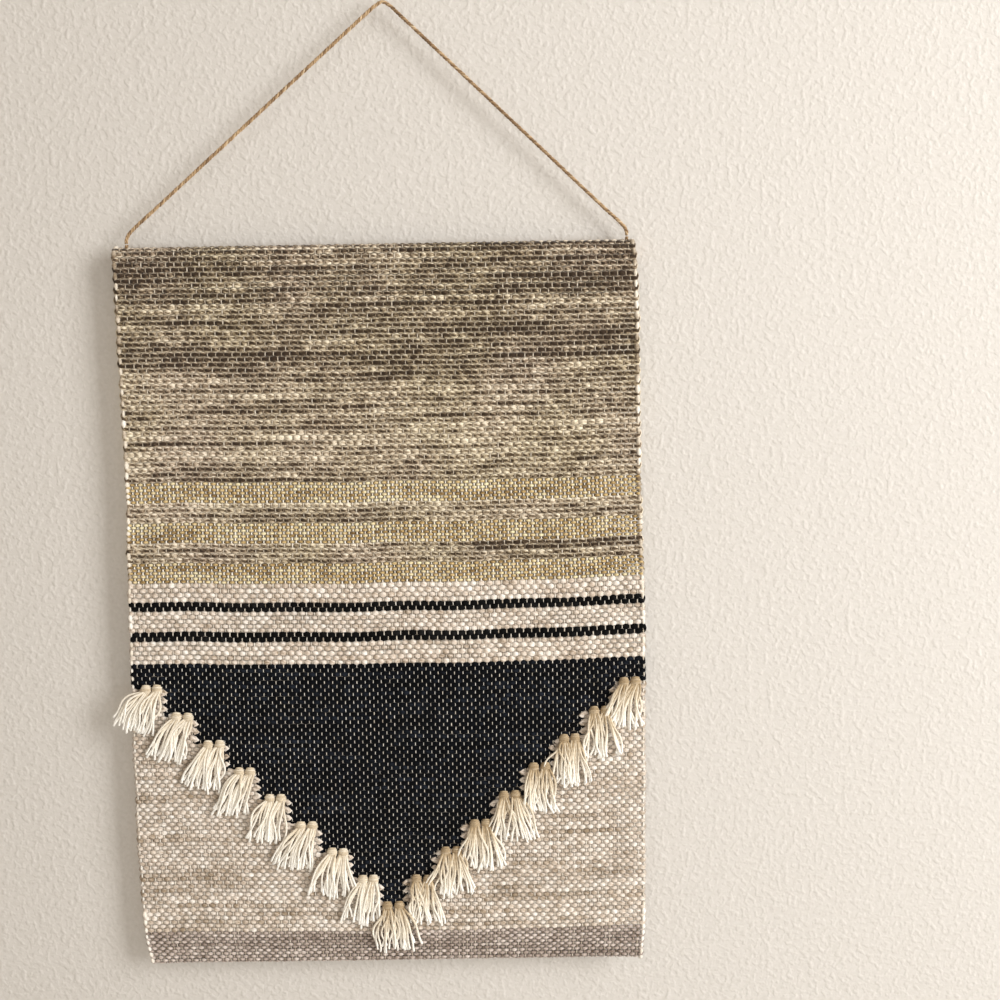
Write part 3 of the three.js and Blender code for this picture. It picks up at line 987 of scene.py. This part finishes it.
# %% Dye the fringe, the twine and the thread
# The fringe's low stops are the painted shade near the knots; its high stops are the cotton towards the tips.
fringe_cotton = yarn_finish(
    "fringe_cotton",
    dyes(
        (0.0, 160, 136, 102), (0.2, 186, 165, 133), (0.45, 226, 212, 188), (0.75, 250, 243, 229),
        (1.0, 255, 253, 247),
    ),
    slant=260.0, turns=1.0, mottle=0.22,
)
jute = yarn_finish(
    "jute_twine",
    dyes((0.0, 110, 86, 60), (0.4, 160, 130, 96), (0.7, 196, 166, 128), (1.0, 226, 203, 168)),
    slant=210.0, turns=1.0, mottle=0.55, grain=0.8,
)
thread = yarn_finish(
    "sewing_thread", dyes((0.0, 198, 184, 160), (1.0, 236, 226, 206)),
    slant=900.0, turns=1.0, mottle=0.2,
)

# %% Give each piece its finish
dye_of = {"marled": marled, "gold": gold, "cream": cream, "black": black, "navy": navy, "taupe": taupe}
dyed = [(stripes[name], dye_of[yarn]) for name, yarn, lines in WOVEN]
dyed += [(piece, warp_cotton) for piece in warps] + [(piece, fringe_cotton) for piece in fringe]
dyed += [(piece, jute) for piece in [twine, *tails]] + [(piece, thread) for piece in seams]
for piece, finish in dyed:
    piece.data.materials.clear()
    piece.data.materials.append(finish)
print(len(dyed), "pieces dyed")

# %% [markdown]
# ## The dowel
# The dowel is a turned beech rod with its grain running along it. Only its ends show, in
# the mouths of the sleeve. The frame's own rod has the right shape, so it stays and gets a
# finish: long streaks along the rod, with rings across its sawn ends.

# %% Finish the dowel
wood = Finish("beech_dowel", Roughness=0.6, Specular_IOR_Level=0.3)
along = wood.node("ShaderNodeSeparateXYZ", {}, {0: wood.where()})
depth, height = (Varying(wood, along.socket.node.outputs[k]) for k in (1, 2))
streaks = wood.noise(wood.vector(along * 14, depth * 520, height * 520), 1.0, 4.0)
pores = wood.noise(wood.vector(along * 120, depth * 2600, height * 2600), 1.0, 2.0)
figure = (streaks * 0.8 + pores * 0.3).held()
beech = dyes((0.30, 168, 126, 82), (0.55, 205, 168, 120), (0.8, 228, 198, 154))
wood.drive("Base Color", wood.ramp(figure, beech))
wood.drive("Roughness", 0.48 + pores * 0.25)
wood.raise_grain(streaks * 0.6 + pores, 0.25, 0.15 * MM)
rod = nodes["dowel_rod"].data
rod.materials.clear()
rod.materials.append(wood.material)

# %% [markdown]
# ## The wall, the floor and the light
# A pale plastered wall stands close behind, because the hanging's soft shadow on it tells
# the eye how near it hangs. The wall is one-sided: its back lets everything through, so
# the hanging's own back can still be seen and lit. A wide soft window stands on the right.

# %% Put up the wall and the floor
def slab(name, placed):
    """A flat sheet a metre each way from its middle, stretched and placed by the matrix."""
    shape = bmesh.new()
    bmesh.ops.create_grid(shape, x_segments=1, y_segments=1, size=1.0, matrix=placed)
    mesh = bpy.data.meshes.new(name)
    shape.to_mesh(mesh)
    shape.free()
    obj = bpy.data.objects.new(name, mesh)
    bpy.context.scene.collection.objects.link(obj)
    return obj


WALL_Y, FLOOR_Z = 10.0 * MM, -1.45
HALF_ROOM, HALF_WALL = 3.0, 1.425  # half the room's width, and half the wall's height
upright = Matrix.Rotation(math.radians(90), 4, "X") @ Matrix.Diagonal((HALF_ROOM, HALF_WALL, 1.0, 1.0))
wall = slab("wall", Matrix.Translation((0.0, WALL_Y, FLOOR_Z + HALF_WALL)) @ upright)
wall.visible_shadow = wall.visible_diffuse = wall.visible_glossy = False
level_ground = Matrix.Diagonal((HALF_ROOM, HALF_ROOM, 1.0, 1.0))
floor = slab("floor", Matrix.Translation((0.0, 0.0, FLOOR_Z)) @ level_ground)

# %% Plaster the wall
plaster = Finish("plaster", Roughness=0.95, Specular_IOR_Level=0.1)
lumps = plaster.noise(plaster.where(), 330.0, 2.0, 0.5)
dabs = plaster.ramp(plaster.noise(plaster.where(), 210.0, 1.5, 0.4), rising(0.47, 0.68))
plaster.drive("Base Color", plaster.ramp(lumps, dyes((0.3, 212, 208, 202), (0.7, 219, 215, 210))))
plaster.raise_grain(lumps * 0.3 + dabs * 0.8, 0.4, 1.0 * MM)
facing = plaster.node("ShaderNodeNewGeometry", {}, {}, "Backfacing")
clear = plaster.node("ShaderNodeBsdfTransparent", {}, {})
solid = Varying(plaster, plaster.shader.outputs[0])
one_sided = plaster.node("ShaderNodeMixShader", {}, {0: facing, 1: solid, 2: clear})
plaster_end = next(n for n in plaster.tree.nodes if n.type == "OUTPUT_MATERIAL")
plaster.tree.links.new(one_sided.socket, plaster_end.inputs["Surface"])
wall.data.materials.append(plaster.material)

# %% Finish the floor
boards = Finish("pale_floor", Roughness=0.8, Specular_IOR_Level=0.2)
shades = dyes((0.3, 214, 207, 197), (0.7, 226, 220, 211))
boards.drive("Base Color", boards.ramp(boards.noise(boards.where(), 3.0), shades))
floor.data.materials.append(boards.material)
print("wall", WALL_Y / MM, "mm behind the nail, floor", -FLOOR_Z, "m below it")


# %% Light it
def soft_light(name, place_at, aim, width, height, watts, colour):
    """A rectangular lamp that is turned towards a point."""
    lamp = bpy.data.lights.new(name, "AREA")
    lamp.shape, lamp.size, lamp.size_y = "RECTANGLE", width, height
    lamp.energy, lamp.color = watts, colour
    obj = bpy.data.objects.new(name, lamp)
    obj.location = place_at
    obj.rotation_euler = (Vector(aim) - Vector(place_at)).to_track_quat("-Z", "Y").to_euler()
    bpy.context.scene.collection.objects.link(obj)


soft_light("window", (2.20, -1.32, 0.20), (0.1, 0.0, -0.40), 1.0, 2.1, 74, (1.0, 0.995, 0.985))
soft_light("room", (-0.5, -2.1, 0.9), (0.0, 0.0, -0.40), 2.0, 1.6, 8, (1.0, 0.91, 0.82))
soft_light("bounce", (0.70, -2.3, -1.05), (0.30, 0.0, -0.95), 2.2, 0.7, 6.5, (0.82, 0.92, 1.0))
soft_light("behind", (-0.6, 1.9, 0.3), (0.0, 0.0, -0.4), 1.8, 1.6, 22, (1.0, 0.97, 0.93))

# %% Fill the room with air light
world = bpy.data.worlds.new("room_air")
world.use_nodes = True
air = world.node_tree.nodes["Background"]
air.inputs["Color"].default_value = paint(240, 226, 208)
air.inputs["Strength"].default_value = 0.42
bpy.context.scene.world = world
bpy.context.scene.view_settings.view_transform = "Standard"
print("window, room, bounce and behind lights are on")

# %% [markdown]
# ## The woven sizes
# The lengths that the stripes were woven to are summed and printed, with the area that the navy covers.

twine_line[::8].tolist() + [twine_line[-1].tolist()]


def woven(*chosen):
    """The length of cloth in these stripes."""
    return sum(sum(pick["pitch"] for pick in picks if pick["stripe"] == stripe) for stripe in chosen)


top_length = sum(pick["pitch"] for pick in picks[:TOP_PICKS])
woven_lengths = {
    "marled_top": top_length,
    "marled_lower": woven(0, *MARLED) - top_length,
    "gold_stripes": woven(*GOLD),
    "cream_stripes": woven(*CREAM),
    "black_lines": woven(*BLACK),
    "taupe_hem": woven(HEM),
}
wide = CLOTH_WIDTH * MM
for name, length in woven_lengths.items():
    on_it = warps + seams if name == "marled_top" else []
    print(name, "is 430 x", round(length / MM, 1), "mm")
navy_area = sum((right - left) * pick["pitch"] for pick, left, right in navy_rows)
v_length, ground_length = woven(V_STRIPE), woven(V_STRIPE, FOOT_STRIPE)
wide * ground_length - navy_area
print("navy covers", round(navy_area, 4), "square metres")
